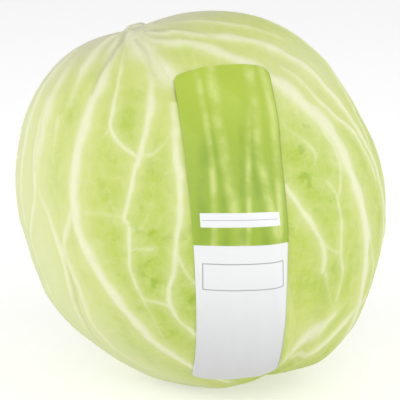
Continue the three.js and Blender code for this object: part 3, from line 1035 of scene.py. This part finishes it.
def blade_reach(blade, towards):
    """Outer face of a leaf in some directions, and very low where the leaf doesn't lie."""
    row, column, share = grid_places(blade, towards)
    inside = (np.abs(share) <= 1) & (row >= 0) & (row <= blade.rows)
    first_row = np.clip(row.astype(int), 0, blade.rows - 1)
    first_column = np.clip(column.astype(int), 0, blade.columns - 1)
    t = np.clip(row - first_row, 0, 1)
    u = np.clip(column - first_column, 0, 1)
    face = blade.level + blade.lift
    near = face[first_row, first_column] * (1 - u) + face[first_row, first_column + 1] * u
    far = face[first_row + 1, first_column] * (1 - u) + face[first_row + 1, first_column + 1] * u
    return np.where(inside, near * (1 - t) + far * t, 0)


print("a margin bends down over, mm:", MARGIN_REACH)

# %% [markdown]
# Now the shape of a leaf. The level surface, the raised veins, a gentle unevenness and a margin
# that bends down to the leaf below add up to the outer face. Solidify gives the blade its
# thickness, thinner at the margin.

# %% Shape of a leaf
BLADE = 1.0
MARGIN_THINNING = 0.55
THICKNESS_STEPS = 10
MARGIN_HEIGHT = 0.3
STALK_MARGIN = 0.3
RIPPLE = 0.4
RIPPLES_ALONG = 13
RIPPLES_ACROSS = 21
RIB_FADING = 0.6
GROOVE_DEPTH = 0.9
NET_HEIGHT = 0.5
UNEVENNESS = 0.6
UNEVEN_FROM = (20, 60)
UNEVEN_SHARES = (0.7, 0.3)
PHASE_PER_LEAF = 1.7
STALK_CROWN = 0.7
STALK_FALL = 1.0
STALK_ROUND_TO = (12, 42)
FREE_FROM = (30, 75)
LEAST_DROOP = 1.5
MOST_DROOP = 7
SMOOTH_ANGLE = math.radians(50)
PATTERN_SHIFT = 7.0


def unevenness(blade):
    across = np.radians(blade.share * blade.width)
    along = np.radians(blade.along)
    phase = blade.leaf.index * PHASE_PER_LEAF
    long_waves = np.sin(7 * along + 3 * across + phase) * np.sin(6 * across - 2 * along + phase)
    short_waves = np.sin(17 * along - 9 * across + phase) * np.sin(15 * across + 4 * along)
    return UNEVEN_SHARES[0] * long_waves + UNEVEN_SHARES[1] * short_waves


def ripple(blade):
    along = np.sin(np.radians(blade.along * RIPPLES_ALONG) + blade.leaf.index)
    return RIPPLE * (along + np.sin(blade.share * RIPPLES_ACROSS + blade.leaf.index))


def margin_lift(blade, beds, dip):
    """How far the margin stands from the leaf's own level, to lie on the highest of the leaves below."""
    free = smooth_step(blade.along, *FREE_FROM)
    droop = dip + LEAST_DROOP + (MOST_DROOP - LEAST_DROOP) * free
    lowest = np.maximum(blade.level - droop, layer_reach(len(leaves), blade.towards))
    bed = np.max([blade_reach(other, blade.towards) for other in beds] + [lowest], axis=0)
    height = MARGIN_HEIGHT * (STALK_MARGIN + (1 - STALK_MARGIN) * free) * (1 + ripple(blade))
    return bed - blade.level + height


def shape_blade(blade, beds):
    """Places of the outer face, given the leaves that this one lies on."""
    near = margin_nearness(blade)
    fading = 1 - RIB_FADING * blade.done ** 2
    lift = RIB_HEIGHT * fading * blade.relief - GROOVE_DEPTH * blade.groove + NET_HEIGHT * blade.net
    lift += UNEVENNESS * unevenness(blade) * smooth_step(blade.along, *UNEVEN_FROM)
    lift += (1 - smooth_step(blade.along, *STALK_ROUND_TO)) * (STALK_CROWN - STALK_FALL * blade.share ** 2)
    dip = stalk_dip(blade.towards)
    lift -= dip
    lift += near * (margin_lift(blade, beds, dip) - lift)
    blade.lift = lift
    return blade.towards * (blade.level + lift)[..., None]


def thicken(piece, blade):
    group = piece.vertex_groups.new(name="blade")
    weights = np.round((1 - MARGIN_THINNING * margin_nearness(blade).ravel()) * THICKNESS_STEPS)
    for step in range(THICKNESS_STEPS + 1):
        group.add(np.flatnonzero(weights == step).tolist(), step / THICKNESS_STEPS, "REPLACE")
    solid = piece.modifiers.new("blade", "SOLIDIFY")
    solid.thickness = BLADE * MM
    solid.offset = -1
    solid.vertex_group = "blade"
    bpy.ops.object.modifier_apply(modifier="blade")
    piece.vertex_groups.clear()


def blade_pattern(blade):
    """Places on the flat leaf in centimetres, set apart from those of the other leaves."""
    across = blade.share * blade.leaf.width * MM_PER_DEGREE / MM_PER_CM
    along = blade.along * MM_PER_DEGREE / MM_PER_CM
    return np.stack([across, along, np.full_like(across, PATTERN_SHIFT * blade.leaf.index)], axis=-1)


def finish_leaf(piece, blade, beds, material):
    draw_fine_net(blade)
    move_vertices(piece, shape_blade(blade, beds))
    write_attribute(piece, "rib", np.clip(np.maximum(blade.rib, blade.net), 0, 1))
    write_attribute(piece, "halo", np.clip(blade.halo, 0, 1))
    # the groove mask also carries the grey painted into the grooves as shade
    write_attribute(piece, "groove", np.clip(blade.groove, 0, 1))
    write_attribute(piece, "margin", margin_nearness(blade))
    write_attribute(piece, "stalk", stalk_paleness(blade.towards))
    # the paler sides, partly painted sheen, and the painted lit shoulder
    write_attribute(piece, "side", side_paleness_and_sheen(blade.towards))
    # the deeper green painted low in front, where the light falls straight on
    write_attribute(piece, "front_lit_green", front_lit_greenness(blade.towards))
    write_vectors(piece, "blade", blade_pattern(blade))
    thicken(piece, blade)
    piece.data.materials.append(material)
    bpy.ops.object.shade_smooth_by_angle(angle=SMOOTH_ANGLE)


print("a blade is", BLADE, "mm thick")

# %% [markdown]
# Under the outer leaves is the closed head. It shows only between the leaf stalks and round the
# crown, where the last three leaves overlap. Its body is a fine sphere, each vertex of which is
# drawn in to its own layer.

# %% Closed head
CROWN_GRID = (90, 110)


def make_head_body():
    deselect_all()
    bpy.ops.mesh.primitive_ico_sphere_add(subdivisions=6, radius=1)
    piece = bpy.context.object
    piece.name = "head_body"
    towards = vertex_places(piece)
    towards /= np.linalg.norm(towards, axis=1, keepdims=True)
    move_vertices(piece, towards * layer_reach(len(leaves), towards)[:, None])
    write_attribute(piece, "stalk", stalk_paleness(towards))
    write_vectors(piece, "blade", towards * MEAN_REACH / MM_PER_CM)
    piece.data.materials.append(head_leaf_finish)
    bpy.ops.object.shade_smooth()
    return piece


def make_crown_leaf(leaf, beds):
    rows, columns = CROWN_GRID
    piece = add_grid(f"crown_leaf_{leaf.index - len(OUTER_LEAVES) + 1}", rows, columns)
    blade = blade_of(leaf, piece, rows, columns)
    draw_ruled_ribs(blade, RIB_SHARES)
    finish_leaf(piece, blade, beds, head_leaf_finish)
    return piece, blade


head_pieces = [make_head_body()]
crown_blades = []
for leaf in reversed(leaves[len(OUTER_LEAVES):]):
    piece, blade = make_crown_leaf(leaf, crown_blades)
    head_pieces.append(piece)
    crown_blades.append(blade)
for piece in head_pieces:
    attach(piece, "root")
    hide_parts("head")
    print(piece.name, "faces:", len(piece.data.polygons))

# %% [markdown]
# The five outer leaves give the head its look. They are laid on from the inside out, so that the
# leaves which a margin bends down to are there before it. The two front leaves get a finer grid
# for their many veins.

# %% Outer leaves
LEFT_FRONT_LEAF = 0
RIGHT_FRONT_LEAF = 2
FRONT_GRID = (246, 180)
BACK_GRID = (190, 150)


def draw_ribs(blade):
    if blade.leaf.index == LEFT_FRONT_LEAF:
        draw_front_ribs(blade)
        draw_ruled_ribs(blade, LEFT_SIDE_SHARES)
    elif blade.leaf.index == RIGHT_FRONT_LEAF:
        draw_front_ribs(blade)
        draw_ruled_ribs(blade, RIGHT_SIDE_SHARES, RIGHT_SIDE_START)
    else:
        draw_ruled_ribs(blade, RIB_SHARES)


def make_outer_leaf(leaf, beds):
    node = f"outer_leaf_{leaf.index + 1}"
    front = leaf.index in (LEFT_FRONT_LEAF, RIGHT_FRONT_LEAF)
    rows, columns = FRONT_GRID if front else BACK_GRID
    piece = add_grid(f"leaf_{leaf.index + 1}", rows, columns)
    blade = blade_of(leaf, piece, rows, columns)
    draw_ribs(blade)
    finish_leaf(piece, blade, beds, outer_leaf_finish)
    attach(piece, "root")
    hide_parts(node)
    print(piece.name, "triangles:", 2 * len(piece.data.polygons))
    return blade


blades = []
for leaf in reversed(leaves[:len(OUTER_LEAVES)]):
    blades.append(make_outer_leaf(leaf, crown_blades + blades))

# %% [markdown]
# The stem was cut off short: a broad foot between the leaf stalks is drawn in to a narrow round
# stub. It starts as a cylinder as wide as the foot. Its top is extruded and scaled in ring by
# ring, the way one draws a profile, then Subdivision Surface rounds it, and a last step makes it
# slightly out of round, as a knife leaves it.

# %% Cut stem
STEM_FOOT = 76
STEM_FOOT_RADIUS = 10.5
STEM_START_DEPTH = 1
STEM_SIDES = 40
STEM_RINGS = [(84, 13), (86, 12.4), (87, 9.4), (88, 6.6), (89.3, 5.6), (90.4, 4.7), (90.8, 3.2), (90.9, 1.4)]
CUT_FACE = (89.6, 90.5)
STEM_WAVINESS = 0.3
STEM_OVAL = 0.04
STEM_LUMPS = 0.03
STEM_FLESH = linear(228, 226, 200)
STEM_PATCHES = linear(214, 213, 176)
STEM_STRANDS = linear(240, 238, 216)
STEM_CUT = linear(214, 204, 166)
STRAND_STRETCH = (1, 1, 0.12)
STRAND_ROUGHNESS = (0.5, 0.68)


def extrude_ring(height, scale):
    bpy.ops.mesh.extrude_region_move(TRANSFORM_OT_translate={"value": (0, 0, height)})
    bpy.ops.transform.resize(value=(scale, scale, 1))


def stem_material():
    material, tree, surface = new_material("cut_stem_finish")
    place = attribute(tree, "stem_place", "Vector")
    patches = use_group(tree, soft_patches, Vector=place, Scale=2.2, Low=0.3, High=0.7)
    fibres = add_node(tree, "ShaderNodeVectorMath", operation="MULTIPLY")
    feed(tree, fibres.inputs[0], place)
    fibres.inputs[1].default_value = STRAND_STRETCH
    strands = use_group(tree, soft_patches, Vector=fibres.outputs[0], Scale=14.0, Low=0.3, High=0.7)
    flesh = mixed(tree, patches, STEM_FLESH, STEM_PATCHES)
    flesh = mixed(tree, scaled(tree, strands, 0.4), flesh, STEM_STRANDS)
    flesh = mixed(tree, scaled(tree, attribute(tree, "cut"), 0.3), flesh, STEM_CUT)
    feed(tree, surface.inputs["Base Color"], flesh)
    feed(tree, surface.inputs["Roughness"], ranged(tree, strands, 0.0, 1.0, *STRAND_ROUGHNESS))
    surface.inputs["Specular IOR Level"].default_value = 0.3
    add_bump(tree, surface, strands, strength=0.35, distance=0.3)
    return material


def draw_profile(piece):
    """Select the top of the cylinder and draw it up, ring by ring."""
    bpy.ops.object.mode_set(mode="EDIT")
    bpy.ops.mesh.select_mode(type="FACE")
    bpy.ops.mesh.select_all(action="DESELECT")
    bpy.ops.object.mode_set(mode="OBJECT")
    for polygon in piece.data.polygons:
        polygon.select = polygon.normal.z > 0.9
    bpy.ops.object.mode_set(mode="EDIT")
    height = STEM_FOOT + STEM_START_DEPTH / 2
    radius = STEM_FOOT_RADIUS
    for ring_height, ring_radius in STEM_RINGS:
        extrude_ring(ring_height - height, ring_radius / radius)
        height = ring_height
        radius = ring_radius
    bpy.ops.object.mode_set(mode="OBJECT")


def as_cut(places):
    """The same places, slightly out of round and wavy on top."""
    turn = np.arctan2(places[:, 1], places[:, 0])
    out = np.hypot(places[:, 0], places[:, 1]) / STEM_FOOT_RADIUS
    uneven = 1 + STEM_OVAL * np.sin(2 * turn + 0.6) + STEM_LUMPS * np.sin(5 * turn)
    risen = places[:, 2] + STEM_WAVINESS * np.sin(3 * turn + 1) * out
    return np.column_stack([places[:, :2] * uneven[:, None], risen])


def make_stem():
    deselect_all()
    bpy.ops.mesh.primitive_cylinder_add(vertices=STEM_SIDES, radius=STEM_FOOT_RADIUS, depth=STEM_START_DEPTH)
    piece = bpy.context.object
    piece.name = "cut_stem"
    draw_profile(piece)
    rounding = piece.modifiers.new("rounding", "SUBSURF")
    rounding.levels = 2
    rounding.render_levels = 2
    bpy.ops.object.modifier_apply(modifier="rounding")
    places = as_cut(vertex_places(piece) + np.array([0, 0, STEM_FOOT]))
    write_vectors(piece, "stem_place", places / MM_PER_CM)
    write_attribute(piece, "cut", smooth_step(places[:, 2], *CUT_FACE))
    move_vertices(piece, places)
    piece.data.materials.append(stem_material())
    bpy.ops.object.shade_smooth()
    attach(piece, "root")
    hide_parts("stem")
    return piece


stem = make_stem()
print("stem faces:", len(stem.data.polygons))

# %% [markdown]
# The label is a strip of printed film, stuck over the two front leaves and the line where they meet. Its
# outline is laid out in degrees, up its middle line and beside it, and then turned to where the label sits.

# %% Outline of the label
LABEL_TURN = 11.4
LABEL_LEAN = 16
LABEL_UP = 39
LABEL_DOWN = -64
LABEL_SKEW = 2
LABEL_WIDTH = 43
LABEL_CORNER = 3.2
LABEL_TAPER = 0.11
TAPER_RANGE = (5, 64)
LABEL_GRID = (220, 60)


def label_places(piece):
    """Degrees up the label and beside its middle line: a strip with round corners, narrowest below."""
    rows, columns = LABEL_GRID
    places = vertex_places(piece).reshape(rows + 1, columns + 1, 3)
    share = places[..., 0]
    lower_end = LABEL_DOWN + LABEL_SKEW * share
    up = (LABEL_UP + lower_end) / 2 + places[..., 1] * (LABEL_UP - lower_end) / 2
    to_end = np.minimum(np.minimum(LABEL_UP - up, up - lower_end), LABEL_CORNER)
    corner_cut = LABEL_CORNER - np.sqrt(np.maximum(LABEL_CORNER ** 2 - (LABEL_CORNER - to_end) ** 2, 0))
    half = np.degrees(LABEL_WIDTH / 2 / head_reach(label_towards(up, np.zeros_like(up))))
    half *= 1 - LABEL_TAPER * smooth_step(-up, *TAPER_RANGE)
    return up, share * (half - corner_cut)


def label_towards(up, beside):
    lean = math.radians(LABEL_LEAN)
    turn = math.radians(LABEL_TURN)
    upright = np.array([math.sin(lean), 0, math.cos(lean)])
    right = np.array([math.cos(lean), 0, -math.sin(lean)])
    front = np.array([0, -1, 0])
    facing = right * math.sin(turn) + front * math.cos(turn)
    sideways = right * math.cos(turn) - front * math.sin(turn)
    a = np.radians(up)[..., None]
    b = np.radians(beside)[..., None]
    return np.cos(b) * np.cos(a) * facing + np.cos(b) * np.sin(a) * upright + np.sin(b) * sideways


print("label width, mm:", LABEL_WIDTH)

# %% [markdown]
# The print is plain: upright strokes, pale and dark, on green above, and white below, with a
# panel and an empty box. The white is painted greyer towards its lower end, as shade. Each shape
# is a mask worked out from the place on the label, so its edges are sharp at any size.

# %% Print of the label
PRINT_TILT = 0.075
UPPER_GREEN = linear(184, 207, 76)
LOWER_GREEN = linear(164, 191, 62)
DARK_GREEN = linear(140, 172, 52)
LIGHT_GREEN = linear(220, 231, 142)
UPPER_WHITE = linear(244, 245, 246)
# the white is painted greyer towards its lower end, as shade
SHADED_LOWER_WHITE = linear(222, 222, 226)
PANEL_WHITE = linear(246, 247, 248)
LINE_GREY = linear(120, 122, 118)
# a thin dark line painted along the right edge, as the shadow where the film lifts
EDGE_SHADOW_GREEN = linear(112, 130, 72)
LINES_SHOWN = 0.7
EDGE_SHADOW_SHOWN = 0.55
GREEN_DEEPENS = (34.0, 4.0)
WHITE_SHADE_RANGE = (-18.0, -62.0)
FILM_ROUGHNESS = (0.3, 0.42)
# left, right, low and high edges
WHITE_PART = (-30.0, 30.0, -90.0, -13.8)
PANEL = (-11.8, 11.4, -8.6, -4.6)
PANEL_RULE = (-11.2, 10.8, -6.7, -6.55)
EMPTY_BOX = (-11.8, 12.0, -27.2, -19.0)
LINE_WIDTH = 0.3
LIGHT_STROKES = [
    # offset, slant, bow, width
    (-7.5, 0.05, -0.001, 1.6),
    (-2.5, -0.09, 0.002, 2.6),
    (2.5, 0.12, 0.001, 1.4),
    (8.5, -0.12, 0.0025, 2.4),
    (12, 0.06, -0.002, 1.8),
]
DARK_STROKES = [
    (-10.5, 0.1, 0.004, 3),
    (-5, -0.02, -0.002, 1.8),
    (0.5, 0.1, 0.001, 1.6),
    (5.5, -0.04, 0.002, 2.2),
]


def strokes(tree, place, shapes):
    shares = 0.0
    for offset, slant, bow, width in shapes:
        stroke = use_group(tree, print_stroke, Vector=place, Offset=offset, Slant=slant, Bow=bow, Width=width)
        shares = math_node(tree, "MAXIMUM", stroke, shares)
    return shares


def box_mask(tree, place, box, softness):
    left, right, low, high = box
    return use_group(
        tree, print_box, Vector=place, Left=left, Right=right, Low=low, High=high, Softness=softness
    )


def print_green(tree, place, up):
    """Green that deepens downwards, with dark and pale strokes that come and go."""
    clouds = use_group(tree, soft_patches, Vector=place, Scale=0.12, Low=0.3, High=0.7)
    deepening = ranged(tree, up, *GREEN_DEEPENS)
    colour = mixed(tree, deepening, UPPER_GREEN, LOWER_GREEN)
    dark = scaled(tree, strokes(tree, place, DARK_STROKES), ranged(tree, clouds, 0.0, 1.0, 0.75, 0.2))
    colour = mixed(tree, scaled(tree, dark, deepening), colour, DARK_GREEN)
    light = scaled(tree, strokes(tree, place, LIGHT_STROKES), ranged(tree, clouds, 0.0, 1.0, 0.15, 0.75))
    return mixed(tree, light, colour, LIGHT_GREEN)


def print_lines(tree, place):
    """The rule across the panel and the outline of the empty box."""
    left, right, low, high = EMPTY_BOX
    hollow = (left + LINE_WIDTH, right - LINE_WIDTH, low + LINE_WIDTH, high - LINE_WIDTH)
    rule = box_mask(tree, place, PANEL_RULE, softness=0.08)
    outer = box_mask(tree, place, EMPTY_BOX, softness=0.06)
    inner = box_mask(tree, place, hollow, softness=0.06)
    return math_node(tree, "ADD", rule, math_node(tree, "SUBTRACT", outer, inner))


def label_material():
    material, tree, surface = new_material("label_film_finish")
    place = attribute(tree, "print", "Vector")
    parts = add_node(tree, "ShaderNodeSeparateXYZ")
    feed(tree, parts.inputs[0], place)
    up = parts.outputs["Y"]
    # painted shade: the white turns greyer towards the lower end of the label
    white = mixed(tree, ranged(tree, up, *WHITE_SHADE_RANGE), UPPER_WHITE, SHADED_LOWER_WHITE)
    lower = box_mask(tree, place, WHITE_PART, softness=0.15)
    colour = mixed(tree, lower, print_green(tree, place, up), white)
    colour = mixed(tree, box_mask(tree, place, PANEL, softness=0.1), colour, PANEL_WHITE)
    colour = mixed(tree, scaled(tree, print_lines(tree, place), LINES_SHOWN), colour, LINE_GREY)
    # painted shadow: a thin dark line along the right edge, where the film lifts
    colour = mixed(tree, scaled(tree, attribute(tree, "edge_shadow"), EDGE_SHADOW_SHOWN), colour, EDGE_SHADOW_GREEN)
    feed(tree, surface.inputs["Base Color"], colour)
    ripples = use_group(tree, soft_patches, Vector=place, Scale=0.5, Low=0.2, High=0.8)
    feed(tree, surface.inputs["Roughness"], ranged(tree, ripples, 0.0, 1.0, *FILM_ROUGHNESS))
    surface.inputs["Specular IOR Level"].default_value = 0.4
    add_bump(tree, surface, ripples, strength=0.25, distance=0.3)
    return material


label_film_finish = label_material()
print("strokes in the print:", len(LIGHT_STROKES) + len(DARK_STROKES))

# %% [markdown]
# The film is laid on whatever leaf is higher at each place, then pulled taut: again and again
# every vertex moves to the mean of its neighbours but never into a leaf, so the film bridges the
# hollows as a real one does. Low on the label it is a little loose, and along its right edge a
# thin dark line is painted on, as the shadow where it lifts.

# %% Film label
FILM = 0.22
FILM_GAP = 0.2
PULLS = 90
LOOSENESS = 0.16
LOOSE_FROM = (5, 50)
LOOSE_WAVES = (0.9, 0.07)


def pull_taut(lowest):
    film = lowest.copy()
    for _ in range(PULLS):
        padded = np.pad(film, 1, mode="reflect", reflect_type="odd")
        mean = (padded[:-2, 1:-1] + padded[2:, 1:-1] + padded[1:-1, :-2] + padded[1:-1, 2:]) / 4
        film = np.maximum(mean, lowest)
    return film


def make_label():
    piece = add_grid("film_label", *LABEL_GRID)
    up, beside = label_places(piece)
    towards = label_towards(up, beside)
    lowest = np.max([blade_reach(blade, towards) for blade in blades], axis=0) + FILM_GAP
    film = pull_taut(lowest)
    waves = np.sin(beside * LOOSE_WAVES[0] + up * LOOSE_WAVES[1])
    film += LOOSENESS * (1 + waves) * smooth_step(-up, *LOOSE_FROM)
    move_vertices(piece, towards * film[..., None])
    # the last column, along the right edge, carries the painted edge shadow
    edge_shadow = np.zeros_like(up)
    edge_shadow[:, -1] = 1
    write_attribute(piece, "edge_shadow", edge_shadow)
    write_vectors(piece, "print", np.stack([beside, up + PRINT_TILT * beside, np.zeros_like(up)], axis=-1))
    solid = piece.modifiers.new("film", "SOLIDIFY")
    solid.thickness = FILM * MM
    solid.offset = 1
    bpy.ops.object.modifier_apply(modifier="film")
    piece.data.materials.append(label_film_finish)
    bpy.ops.object.shade_smooth_by_angle(angle=SMOOTH_ANGLE)
    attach(piece, "root")
    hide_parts("label")
    print("film stands over the leaves by at most, mm:", round(float((film - lowest).max()), 2))


make_label()
